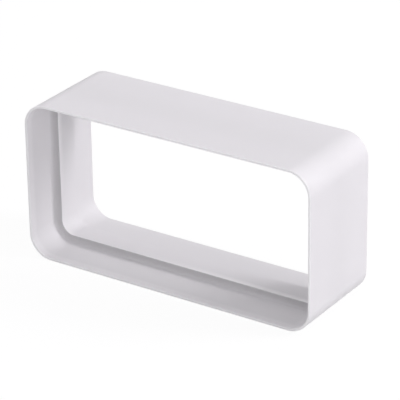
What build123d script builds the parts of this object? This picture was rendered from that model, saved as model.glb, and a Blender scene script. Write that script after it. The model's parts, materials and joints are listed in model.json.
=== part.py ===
from build123d import *
import os

# Flat duct connector: a one-piece moulded sleeve that joins two flat ventilation ducts end to end.
# Millimetres. +X runs across the width, +Y along the air path, +Z up.
# The origin is under the middle of the sleeve, on the floor it stands on.

# The duct that slides into each end
DUCT_WIDTH = 120.0
DUCT_HEIGHT = 60.0
DUCT_CORNER_RADIUS = 8.0

# The sleeve
FIT_GAP = 0.1               # play between the duct and the socket wall beside the stop, each side
WALL = 1.2                  # wall thickness beside the stop
SOCKET_DEPTH = 15.0         # from the mouth to the stop
SOCKET_DRAFT = 0.25         # how much wider the socket is at its mouth than beside the stop, each side

# The stop band, which runs all the way round inside at mid length
STOP_LENGTH = 10.0          # along the air path
STOP_HEIGHT = 3.0           # how far it stands in from the socket wall
STOP_EDGE_RADIUS = 0.2      # round on its two inner edges
STOP_FOOT_RADIUS = 1.2      # cove where it meets the socket wall

# The rims
RIM_ROUND_SHARE = 0.35      # radius of each rim's outer and inner edge, as a share of the rim's thickness

# Sizes that follow from those above
LENGTH = 2 * SOCKET_DEPTH + STOP_LENGTH
RIM_RADIUS = RIM_ROUND_SHARE * (WALL - SOCKET_DRAFT)
SOCKET_OFFSET = FIT_GAP                         # socket wall beside the stop, out from the duct's outside
MOUTH_OFFSET = FIT_GAP + SOCKET_DRAFT           # socket wall at the mouth, out from the duct's outside
OUTER_OFFSET = FIT_GAP + WALL                   # outside of the sleeve, out from the duct's outside
STOP_OFFSET = FIT_GAP - STOP_HEIGHT             # top of the stop band, in from the duct's outside
MIDDLE_HEIGHT = DUCT_HEIGHT / 2 + OUTER_OFFSET  # height of the air path's axis above the floor


def duct_outline(offset, along):
    """The duct's rounded outline, grown by an offset on every side, at a distance along the air path."""
    outline = RectangleRounded(
        DUCT_WIDTH + 2 * offset,
        DUCT_HEIGHT + 2 * offset,
        DUCT_CORNER_RADIUS + offset,
    )
    return Plane(origin=(0, along, MIDDLE_HEIGHT), x_dir=(1, 0, 0), z_dir=(0, 1, 0)) * outline


def duct_shaped_bar(offset):
    """Solid bar with one outline, the whole length of the sleeve."""
    return extrude(duct_outline(offset, -LENGTH / 2), amount=LENGTH)


def socket_space(end):
    """The room for one duct, widening from the stop to the mouth; end is -1 at the front, 1 at the rear."""
    beside_stop = duct_outline(SOCKET_OFFSET, end * STOP_LENGTH / 2)
    mouth = duct_outline(MOUTH_OFFSET, end * LENGTH / 2)
    return loft([beside_stop, mouth], ruled=True)


def hollow_sleeve():
    """The outside, less the air way through the stop band and the socket at each end."""
    return duct_shaped_bar(OUTER_OFFSET) - duct_shaped_bar(STOP_OFFSET) - socket_space(-1) - socket_space(1)


def faces_across_air_path(sleeve):
    """The flat faces square to the air path: front rim, front stop, rear stop, rear rim."""
    return sleeve.faces().filter_by(Axis.Y).sort_by(Axis.Y)


def soften_stop_band(sleeve):
    """Round the band's two inner edges, then run a cove along its two feet."""
    front_stop, rear_stop = faces_across_air_path(sleeve)[1:3]
    inner_edges = front_stop.inner_wires().edges() + rear_stop.inner_wires().edges()
    sleeve = fillet(inner_edges, STOP_EDGE_RADIUS)
    front_stop, rear_stop = faces_across_air_path(sleeve)[1:3]
    feet = front_stop.outer_wire().edges() + rear_stop.outer_wire().edges()
    return fillet(feet, STOP_FOOT_RADIUS)


def soften_rim(sleeve, which):
    """Round the outer and inner edges of one rim; which is 0 at the front, -1 at the rear."""
    rim = faces_across_air_path(sleeve)[which]
    sleeve = fillet(rim.outer_wire().edges(), RIM_RADIUS)
    rim = faces_across_air_path(sleeve)[which]
    return fillet(rim.inner_wires().edges(), RIM_RADIUS)


connector_sleeve = soften_stop_band(hollow_sleeve())
for which in (0, -1):
    connector_sleeve = soften_rim(connector_sleeve, which)

os.makedirs("parts", exist_ok=True)
export_step(connector_sleeve, "parts/connector_sleeve.step")
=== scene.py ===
"""Flat duct connector: a one-piece white plastic sleeve standing on a pale studio floor.

The sleeve is one surface: the closed section of its wall, carried round a rounded rectangle.
Everything is in metres, with +X across the width, +Y along the air path and +Z up.
"""

import json
import math

import bpy
import numpy as np
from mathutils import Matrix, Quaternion, Vector


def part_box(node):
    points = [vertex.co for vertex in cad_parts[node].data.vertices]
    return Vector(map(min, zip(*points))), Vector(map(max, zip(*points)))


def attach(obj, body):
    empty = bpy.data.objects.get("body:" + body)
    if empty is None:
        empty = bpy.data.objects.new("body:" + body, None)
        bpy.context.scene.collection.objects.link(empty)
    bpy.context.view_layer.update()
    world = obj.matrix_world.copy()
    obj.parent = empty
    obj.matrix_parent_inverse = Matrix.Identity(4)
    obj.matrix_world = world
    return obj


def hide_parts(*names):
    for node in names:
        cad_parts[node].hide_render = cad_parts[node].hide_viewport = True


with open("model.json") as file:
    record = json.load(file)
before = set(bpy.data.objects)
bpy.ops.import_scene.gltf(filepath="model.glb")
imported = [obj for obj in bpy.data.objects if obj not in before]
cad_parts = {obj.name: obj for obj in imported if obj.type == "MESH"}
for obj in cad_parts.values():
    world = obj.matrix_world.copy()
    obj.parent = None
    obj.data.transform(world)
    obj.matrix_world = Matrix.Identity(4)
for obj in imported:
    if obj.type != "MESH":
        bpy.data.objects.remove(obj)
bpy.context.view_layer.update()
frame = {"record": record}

MM = 0.001
MOUNTS = {mount["name"]: mount for mount in frame["record"]["mounts"]}

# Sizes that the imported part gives
SLEEVE_LOW, SLEEVE_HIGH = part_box("connector_sleeve")
LENGTH = (SLEEVE_HIGH - SLEEVE_LOW).y
SOCKET_DEPTH = MOUNTS["front_socket"]["dims"]["length_mm"] * MM

# Sizes of the wall's section
CORNER_RADIUS = 9.3 * MM            # of the sleeve's outside
WALL = 1.2 * MM                     # thickness beside the stop
SOCKET_DRAFT = 0.25 * MM            # how much thinner the wall is at its rim
STOP_HEIGHT = 3.0 * MM              # how far the stop band stands in from the socket wall
STOP_EDGE_RADIUS = 0.2 * MM         # round on the band's inner edges
STOP_FOOT_RADIUS = 1.2 * MM         # cove where the band meets the socket wall
RIM_ROUND_SHARE = 0.35              # radius of a rim's two edges, as a share of its thickness
RIM_THICKNESS = WALL - SOCKET_DRAFT
RIM_RADIUS = RIM_ROUND_SHARE * RIM_THICKNESS

# How finely the surface is divided
SECTION_ARC_STEPS = 8
SECTION_RUN_STEPS = 12
OUTLINE_ARC_STEPS = 28
OUTLINE_RUN_STEPS = 20

# The plastic's colour and gloss
PLASTIC_COLOUR = (0.808, 0.80, 0.810)
CLOUD_CONTRAST = 0.03
CLOUDS_PER_METRE = 55.0
CLOUD_DETAIL = 3.0
ROUGHNESS = 0.58
ROUGHNESS_CONTRAST = 0.16
WEAR_PER_METRE = 90.0
WEAR_DETAIL = 4.0
SCATTER_DISTANCE = 1.0 * MM         # how far light spreads inside the plastic
SCATTER_SHARES = (1.0, 1.0, 1.0)    # the same for red, green and blue

# Painted light and shade on the plastic: how much each mask scales its colour where the mask is 1
PAINTED_LIGHT_GAINS = {"painted_rim_light": 1.22, "painted_edge_highlight": 1.22, "painted_stop_shade": 0.62}
MOUTH_LIGHT_STRIP = 3.5 * MM              # width of the painted light strip inside the front mouth
MOUTH_LIGHT_STRIP_FADE = 1.2 * MM
MOUTH_LIGHT_STRIP_SHARE = 0.33            # of the painted light that the rim itself gets
STOP_SHADE_FOOT_SHARE = 0.5               # of the painted shade that the top of a stop face gets
EDGE_HIGHLIGHT_WIDTH = 1.7 * MM                # width of the painted highlight along the stop band's front edge
EDGE_HIGHLIGHT_FADE = 0.6 * MM
EDGE_HIGHLIGHT_FROM = 40.0 * MM          # where it starts to show, from the lower left corner
EDGE_HIGHLIGHT_TO = 100.0 * MM           # where it shows in full
EDGE_HIGHLIGHT_RISE = 2.0                # how much more a distance upwards counts than one across
JUST_PAST = 1.01                    # takes a mask past the last point of a round

# The plastic's relief
GRAIN_HEIGHT = 2.0e-6
GRAIN_PER_METRE = 4000.0
GRAIN_DETAIL = 2.0
DRAW_LINE_HEIGHT = 4.0e-6
DRAW_LINES_PER_METRE = 700.0
DRAW_LINE_DETAIL = 1.0
DRAW_LINE_STRETCH = (1.0, 0.02, 1.0)
UNEVENNESS_HEIGHT = 60.0e-6
UNEVENNESS_PER_METRE = 45.0
UNEVENNESS_DETAIL = 1.0

# Camera, from the photo's edges; angles in degrees, lens and sensor in millimetres
VIEW_AZIMUTH = 33.77
VIEW_ELEVATION = 25.38
VIEW_ROLL = -0.86
VIEW_DISTANCE = 0.9002
VIEW_TARGET = Vector((2.42 * MM, 0.0, 30.64 * MM))
VIEW_DEPTH = 20.0                   # how far the camera sees
LENS = 222.3
SENSOR = 36.0

# Studio
LIGHT_TINT = (1.022, 1.0, 1.036)
ROOM_LEVEL = 0.438
LAMP_DISTANCE = 1.6
KEY_SIZE = 0.5                      # side of a square soft box
FILL_SIZE = 0.9
FLOOR_HALF = 4.0                    # from the middle of the floor to its edge
FLOOR_DROP = 0.05 * MM              # keeps the floor clear of the sleeve's underside
FLOOR_COLOUR = (0.7, 0.7, 0.7, 1.0)
FLOOR_ROUGHNESS = 0.9
FLOOR_GLOW = 1.08                   # with the share below, it brings the floor to white
FLOOR_GLOW_SHARE = 0.85
WHITE = (1.0, 1.0, 1.0, 1.0)


def rounded_loop(corners, radii, arc_steps, run_steps):
    """Points and unit tangents of a closed polygon whose corners are rounded.

    With a the direction into a corner, n the unit vector square to a on the side of the turn, and t the
    length cut off each side, the arc is start + r (sin(q) a + (1 - cos(q)) n), where start = corner - t a,
    t = r tan(turn / 2) and q runs from 0 to the turn. Straight runs between arcs are divided by a cosine
    rule, which packs the points towards the arcs.
    """
    corners = np.asarray(corners, float)
    radii = np.asarray(radii, float)[:, None]
    leaving = np.roll(corners, -1, axis=0) - corners
    leaving /= np.linalg.norm(leaving, axis=1, keepdims=True)
    coming = np.roll(leaving, 1, axis=0)
    cross = coming[:, 0] * leaving[:, 1] - coming[:, 1] * leaving[:, 0]
    turn = np.arctan2(cross, (coming * leaving).sum(axis=1))[:, None]
    side = np.sign(turn) * np.stack([-coming[:, 1], coming[:, 0]], axis=1)
    start = corners - radii * np.tan(np.abs(turn) / 2) * coming

    q = np.abs(turn) * np.linspace(0.0, 1.0, arc_steps + 1)
    sin_q, cos_q = np.sin(q)[..., None], np.cos(q)[..., None]
    arc = start[:, None] + radii[:, None] * (sin_q * coming[:, None] + (1 - cos_q) * side[:, None])
    arc_tangent = cos_q * coming[:, None] + sin_q * side[:, None]

    share = (1 - np.cos(np.linspace(0.0, math.pi, run_steps + 1)[1:-1])) / 2
    run_start = arc[:, -1:]
    run_end = np.roll(start, -1, axis=0)[:, None]
    run = run_start + (run_end - run_start) * share[:, None]
    run_tangent = np.broadcast_to(leaving[:, None], run.shape)

    points = np.concatenate([arc, run], axis=1).reshape(-1, 2)
    tangents = np.concatenate([arc_tangent, run_tangent], axis=1).reshape(-1, 2)
    return points, tangents


def wall_section():
    """The wall's closed section: distance along the air path, and depth in from the outside.

    It goes along the outside from front to rear, over the rear rim, down the drafted socket, over the stop
    band, and back out through the front mouth.
    """
    end = LENGTH / 2
    stop = end - SOCKET_DEPTH
    half = [
        (end, 0.0, RIM_RADIUS),
        (end, RIM_THICKNESS, RIM_RADIUS),
        (stop, WALL, STOP_FOOT_RADIUS),
        (stop, WALL + STOP_HEIGHT, STOP_EDGE_RADIUS),
    ]
    mirrored = [(-along, depth, radius) for along, depth, radius in reversed(half)]
    corners = np.array(half + mirrored)
    return rounded_loop(corners[:, :2], corners[:, 2], SECTION_ARC_STEPS, SECTION_RUN_STEPS)


def sleeve_outline():
    """The outside of the sleeve seen along the air path, a rounded rectangle standing on the floor."""
    left, right = SLEEVE_LOW.x, SLEEVE_HIGH.x
    bottom, top = SLEEVE_LOW.z, SLEEVE_HIGH.z
    corners = [(left, bottom), (right, bottom), (right, top), (left, top)]
    return rounded_loop(corners, [CORNER_RADIUS] * 4, OUTLINE_ARC_STEPS, OUTLINE_RUN_STEPS)


def carried_section(section, section_tangents, outline, outline_tangents):
    """Vertices and normals of a section carried round an outline, as (outline, section, xyz) grids.

    A vertex is outline point + depth x inward + along x Y, where inward is the outline's tangent turned a
    quarter. The normal turns the section's tangent a quarter in the same plane.
    """
    zero = np.zeros(len(outline))
    inward = np.stack([-outline_tangents[:, 1], zero, outline_tangents[:, 0]], axis=1)[:, None]
    base = np.stack([outline[:, 0], zero, outline[:, 1]], axis=1)[:, None]
    along_y = np.array([0.0, 1.0, 0.0])
    vertices = base + section[:, 1:] * inward + section[:, :1] * along_y
    normals = -section_tangents[:, :1] * inward + section_tangents[:, 1:] * along_y
    return vertices, normals


def closed_grid_faces(rows, columns):
    """Quads of a grid that closes on itself both ways, as vertex numbers row x columns + column."""
    row, column = np.meshgrid(np.arange(rows), np.arange(columns), indexing="ij")
    next_row, next_column = (row + 1) % rows, (column + 1) % columns
    corners = [(row, column), (row, next_column), (next_row, next_column), (next_row, column)]
    return np.stack([r * columns + c for r, c in corners], axis=-1).reshape(-1, 4)


def mesh_object(name, vertices, normals, faces, material):
    """A smooth mesh object at the origin, with the surface's own normals."""
    mesh = bpy.data.meshes.new(name)
    mesh.from_pydata(vertices.reshape(-1, 3), [], faces)
    mesh.polygons.foreach_set("use_smooth", np.ones(len(faces), bool))
    mesh.normals_split_custom_set_from_vertices(normals.reshape(-1, 3))
    mesh.materials.append(material)
    piece = bpy.data.objects.new(name, mesh)
    bpy.context.scene.collection.objects.link(piece)
    return piece


def feed(tree, node, inputs):
    """Set a node's inputs; each is a value, or the socket that feeds it."""
    for name, value in inputs.items():
        if isinstance(value, bpy.types.NodeSocket):
            tree.links.new(value, node.inputs[name])
        else:
            node.inputs[name].default_value = value


def add_node(tree, kind, inputs=None, **settings):
    """A shader node with its settings and inputs."""
    made = tree.nodes.new(kind)
    for name, value in settings.items():
        setattr(made, name, value)
    feed(tree, made, inputs or {})
    return made


def calculate(tree, operation, *values, **settings):
    """The result of one Math node; each of its values is a number, or the socket that feeds it."""
    inputs = dict(enumerate(values))
    return add_node(tree, "ShaderNodeMath", inputs, operation=operation, **settings).outputs[0]


def shader_group(name, inputs, outputs):
    """A new node group with named sockets, and its input and output nodes."""
    group = bpy.data.node_groups.new(name, "ShaderNodeTree")
    for label, kind in inputs.items():
        group.interface.new_socket(label, in_out="INPUT", socket_type=kind)
    for label, kind in outputs.items():
        group.interface.new_socket(label, in_out="OUTPUT", socket_type=kind)
    return group, group.nodes.new("NodeGroupInput"), group.nodes.new("NodeGroupOutput")


def noise(tree, place, scale, detail):
    """Smooth noise less its middle, so from about -0.5 to 0.5; scale is in features to the metre."""
    texture = add_node(tree, "ShaderNodeTexNoise", {"Vector": place, "Scale": scale, "Detail": detail})
    return calculate(tree, "SUBTRACT", texture.outputs["Fac"], 0.5)


def moulded_relief_group():
    """Normal of a moulded face: fine grain, lines along the draw, and a broad unevenness.

    The height is the sum of the three, each noise times its input, which is in metres.
    """
    group, given, result = shader_group(
        "moulded_relief",
        {"Grain": "NodeSocketFloat", "Draw Lines": "NodeSocketFloat", "Unevenness": "NodeSocketFloat"},
        {"Normal": "NodeSocketVector"},
    )
    place = group.nodes.new("ShaderNodeTexCoord").outputs["Object"]
    along_draw = add_node(group, "ShaderNodeMapping", {"Vector": place, "Scale": DRAW_LINE_STRETCH})
    layers = {
        "Grain": noise(group, place, GRAIN_PER_METRE, GRAIN_DETAIL),
        "Draw Lines": noise(group, along_draw.outputs[0], DRAW_LINES_PER_METRE, DRAW_LINE_DETAIL),
        "Unevenness": noise(group, place, UNEVENNESS_PER_METRE, UNEVENNESS_DETAIL),
    }
    height = 0.0
    for name, layer in layers.items():
        height = calculate(group, "MULTIPLY_ADD", layer, given.outputs[name], height)
    bump = add_node(group, "ShaderNodeBump", {"Height": height, "Strength": 1.0, "Distance": 1.0})
    feed(group, result, {"Normal": bump.outputs["Normal"]})
    return group


def plastic_tone_group():
    """Colour and roughness: cloudy, with painted light on the rim and stop edge, and painted shade on the
    stop's faces.

    The colour is scaled by 1 + contrast x clouds and by each mask's factor, which goes from 1 to the
    mask's gain. The roughness is its mean + contrast x wear.
    """
    group, given, result = shader_group(
        "plastic_tone",
        {"Colour": "NodeSocketColor", **dict.fromkeys(PAINTED_LIGHT_GAINS, "NodeSocketFloat")},
        {"Colour": "NodeSocketColor", "Roughness": "NodeSocketFloat"},
    )
    place = group.nodes.new("ShaderNodeTexCoord").outputs["Object"]
    clouds = noise(group, place, CLOUDS_PER_METRE, CLOUD_DETAIL)
    wear = noise(group, place, WEAR_PER_METRE, WEAR_DETAIL)
    level = calculate(group, "MULTIPLY_ADD", clouds, CLOUD_CONTRAST, 1.0)
    for mask, gain in PAINTED_LIGHT_GAINS.items():
        span = {"Value": given.outputs[mask], "To Min": 1.0, "To Max": gain}
        factor = add_node(group, "ShaderNodeMapRange", span)
        level = calculate(group, "MULTIPLY", level, factor.outputs[0])
    scaled = {0: given.outputs["Colour"], "Scale": level}
    colour = add_node(group, "ShaderNodeVectorMath", scaled, operation="SCALE")
    roughness = calculate(group, "MULTIPLY_ADD", wear, ROUGHNESS_CONTRAST, ROUGHNESS)
    feed(group, result, {"Colour": colour.outputs[0], "Roughness": roughness})
    return group


def white_plastic():
    """Satin white moulded plastic, a little translucent."""
    material = bpy.data.materials.new("white_plastic")
    material.use_nodes = True
    tree = material.node_tree
    tone_inputs = {"Colour": (*PLASTIC_COLOUR, 1.0)}
    # The masks of painted light and painted shade
    for mask in PAINTED_LIGHT_GAINS:
        tone_inputs[mask] = add_node(tree, "ShaderNodeAttribute", attribute_name=mask).outputs["Fac"]
    relief_inputs = {"Grain": GRAIN_HEIGHT, "Draw Lines": DRAW_LINE_HEIGHT, "Unevenness": UNEVENNESS_HEIGHT}
    tone = add_node(tree, "ShaderNodeGroup", tone_inputs, node_tree=plastic_tone_group())
    relief = add_node(tree, "ShaderNodeGroup", relief_inputs, node_tree=moulded_relief_group())
    feed(tree, tree.nodes["Principled BSDF"], {
        "Base Color": tone.outputs["Colour"],
        "Roughness": tone.outputs["Roughness"],
        "Normal": relief.outputs["Normal"],
        "Subsurface Weight": 1.0,
        "Subsurface Radius": SCATTER_SHARES,
        "Subsurface Scale": SCATTER_DISTANCE,
    })
    return material


def painted_rim_light_mask(section, tangents):
    """Painted light: 1 on the front rim, less on a strip inside its mouth, and 0 elsewhere.

    On the rim it is how squarely the surface faces the front. On the strip it is a fixed share, which
    fades to 0 at the strip's inner end.
    """
    from_front = LENGTH / 2 + section[:, 0]
    rim = np.where(from_front < JUST_PAST * RIM_RADIUS, np.abs(tangents[:, 1]), 0.0)
    fade = np.clip((MOUTH_LIGHT_STRIP - from_front) / MOUTH_LIGHT_STRIP_FADE, 0.0, 1.0)
    inside = section[:, 1] > RIM_THICKNESS / 2
    return np.maximum(rim, np.where(inside, MOUTH_LIGHT_STRIP_SHARE * fade, 0.0))


def painted_stop_shade_mask(section, tangents):
    """Painted shade: 1 at the top of the stop band's two faces, less towards their feet, fading out over
    the coves.

    It is how squarely the surface faces along the air path, times a share that rises with the height
    above the socket wall.
    """
    near_stop = np.abs(section[:, 0]) < LENGTH / 2 - SOCKET_DEPTH + STOP_FOOT_RADIUS
    rise = np.clip((section[:, 1] - WALL) / STOP_HEIGHT, 0.0, 1.0)
    share = STOP_SHADE_FOOT_SHARE + (1 - STOP_SHADE_FOOT_SHARE) * rise
    return np.where(near_stop, np.abs(tangents[:, 1]) * share, 0.0)


def painted_edge_highlight_mask(section, outline):
    """Painted highlight: 1 on the stop band's front inner edge at the far corners, fading towards the lower
    left corner.

    Across the edge it is 1 on the round and falls to 0 over a strip of the band's top. Along the edge it
    rises from 0 to 1 with the distance from the lower left corner, in which heights count for more.
    """
    front_edge = -(LENGTH / 2 - SOCKET_DEPTH) + STOP_EDGE_RADIUS
    from_edge = section[:, 0] - front_edge
    on_top = section[:, 1] > WALL + STOP_HEIGHT - JUST_PAST * STOP_EDGE_RADIUS
    across = np.where(on_top, np.clip((EDGE_HIGHLIGHT_WIDTH - from_edge) / EDGE_HIGHLIGHT_FADE, 0.0, 1.0), 0.0)
    distance = np.hypot(outline[:, 0] - SLEEVE_LOW.x, EDGE_HIGHLIGHT_RISE * (outline[:, 1] - SLEEVE_LOW.z))
    along = np.clip((distance - EDGE_HIGHLIGHT_FROM) / (EDGE_HIGHLIGHT_TO - EDGE_HIGHLIGHT_FROM), 0.0, 1.0)
    return along[:, None] * across


def moulded_sleeve():
    """The connector itself, in place of its CAD node."""
    section, section_tangents = wall_section()
    outline, outline_tangents = sleeve_outline()
    vertices, normals = carried_section(section, section_tangents, outline, outline_tangents)
    faces = closed_grid_faces(len(outline), len(section))
    sleeve = mesh_object("moulded_sleeve", vertices, normals, faces, white_plastic())
    # Masks of painted light on the rim and stop edge, and of painted shade on the stop's faces
    masks = {
        "painted_rim_light": painted_rim_light_mask(section, section_tangents),
        "painted_edge_highlight": painted_edge_highlight_mask(section, outline),
        "painted_stop_shade": painted_stop_shade_mask(section, section_tangents),
    }
    for name, values in masks.items():
        values = np.broadcast_to(values, (len(outline), len(section)))
        sleeve.data.attributes.new(name, "FLOAT", "POINT").data.foreach_set("value", values.ravel())
    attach(sleeve, "root")
    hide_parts("connector_sleeve")


def seen_directly(tree):
    """A mask of 1 for rays from the camera, by reflection or through clear material, and 0 for lighting."""
    path = tree.nodes.new("ShaderNodeLightPath")
    total = path.outputs["Is Camera Ray"]
    for ray in ("Is Glossy Ray", "Is Transmission Ray"):
        total = calculate(tree, "ADD", total, path.outputs[ray], use_clamp=True)
    return total


def pale_floor():
    """A matt floor, of which a share glows white where it is seen directly, and the rest takes shadow."""
    material = bpy.data.materials.new("pale_floor")
    material.use_nodes = True
    tree = material.node_tree
    matt = tree.nodes["Principled BSDF"]
    feed(tree, matt, {
        "Base Color": FLOOR_COLOUR,
        "Roughness": FLOOR_ROUGHNESS,
        "Specular IOR Level": 0.0,
    })
    glow = add_node(tree, "ShaderNodeEmission", {"Strength": FLOOR_GLOW})
    share = calculate(tree, "MULTIPLY", seen_directly(tree), FLOOR_GLOW_SHARE)
    mixed = add_node(tree, "ShaderNodeMixShader", {"Fac": share, 1: matt.outputs[0], 2: glow.outputs[0]})
    feed(tree, tree.nodes["Material Output"], {"Surface": mixed.outputs[0]})
    return material


def studio_floor():
    """A wide square floor just under the sleeve."""
    corners = np.array([(-1, -1, 0), (1, -1, 0), (1, 1, 0), (-1, 1, 0)]) * FLOOR_HALF
    mesh = bpy.data.meshes.new("studio_floor")
    mesh.from_pydata(corners, [], [(0, 1, 2, 3)])
    mesh.materials.append(pale_floor())
    floor = bpy.data.objects.new("studio_floor", mesh)
    floor.location.z = -FLOOR_DROP
    bpy.context.scene.collection.objects.link(floor)


def direction(azimuth, elevation):
    """Unit vector at an azimuth from the front, turning to the right, and an elevation, in degrees."""
    a, e = math.radians(azimuth), math.radians(elevation)
    return Vector((math.sin(a) * math.cos(e), -math.cos(a) * math.cos(e), math.sin(e)))


def camera():
    """The photo's camera, aimed at the target, then rolled about its own axis."""
    back = direction(VIEW_AZIMUTH, VIEW_ELEVATION)
    roll = Quaternion((0, 0, 1), math.radians(VIEW_ROLL))
    data = bpy.data.cameras.new("camera")
    data.sensor_width = SENSOR
    data.lens = LENS
    data.clip_end = VIEW_DEPTH
    view = bpy.data.objects.new("camera", data)
    view.location = VIEW_TARGET + VIEW_DISTANCE * back
    view.rotation_mode = "QUATERNION"
    view.rotation_quaternion = (-back).to_track_quat("-Z", "Y") @ roll
    bpy.context.scene.collection.objects.link(view)
    bpy.context.scene.camera = view


def soft_lamp(name, azimuth, elevation, size, watts):
    """A square soft box in a direction from the sleeve's middle, facing it."""
    middle = (SLEEVE_LOW + SLEEVE_HIGH) / 2
    away = direction(azimuth, elevation).normalized()
    data = bpy.data.lights.new(name, "AREA")
    data.shape = "SQUARE"
    data.size = size
    data.energy = watts
    data.color = LIGHT_TINT
    lamp = bpy.data.objects.new(name, data)
    lamp.location = middle + LAMP_DISTANCE * away
    lamp.rotation_mode = "QUATERNION"
    lamp.rotation_quaternion = (-away).to_track_quat("-Z", "Y")
    bpy.context.scene.collection.objects.link(lamp)


def studio_lamps():
    """Two key boxes at the right rear, low fill from the front and right, and high fill from the left."""
    soft_lamp("key_lamp", azimuth=121, elevation=40, size=KEY_SIZE, watts=7.1)
    soft_lamp("low_key_lamp", azimuth=121, elevation=26, size=KEY_SIZE, watts=3.5)
    soft_lamp("front_lamp", azimuth=10, elevation=12, size=FILL_SIZE, watts=3.7)
    soft_lamp("front_right_lamp", azimuth=60, elevation=8, size=FILL_SIZE, watts=3.9)
    soft_lamp("right_lamp", azimuth=90, elevation=8, size=FILL_SIZE, watts=1.7)
    soft_lamp("rear_left_lamp", azimuth=225, elevation=58, size=FILL_SIZE, watts=1.5)
    soft_lamp("left_lamp", azimuth=270, elevation=58, size=FILL_SIZE, watts=1.9)


def surrounding_light():
    """An even room with the lamps' tint, which the camera and reflections see as white."""
    world = bpy.data.worlds.new("white_room")
    bpy.context.scene.world = world
    world.use_nodes = True
    tree = world.node_tree
    colour = add_node(tree, "ShaderNodeMixRGB", {
        "Fac": seen_directly(tree),
        "Color1": (*(ROOM_LEVEL * np.array(LIGHT_TINT)), 1.0),
        "Color2": WHITE,
    })
    feed(tree, tree.nodes["Background"], {"Color": colour.outputs["Color"], "Strength": 1.0})


moulded_sleeve()
studio_floor()
camera()
studio_lamps()
surrounding_light()
bpy.context.scene.view_settings.view_transform = "Standard"
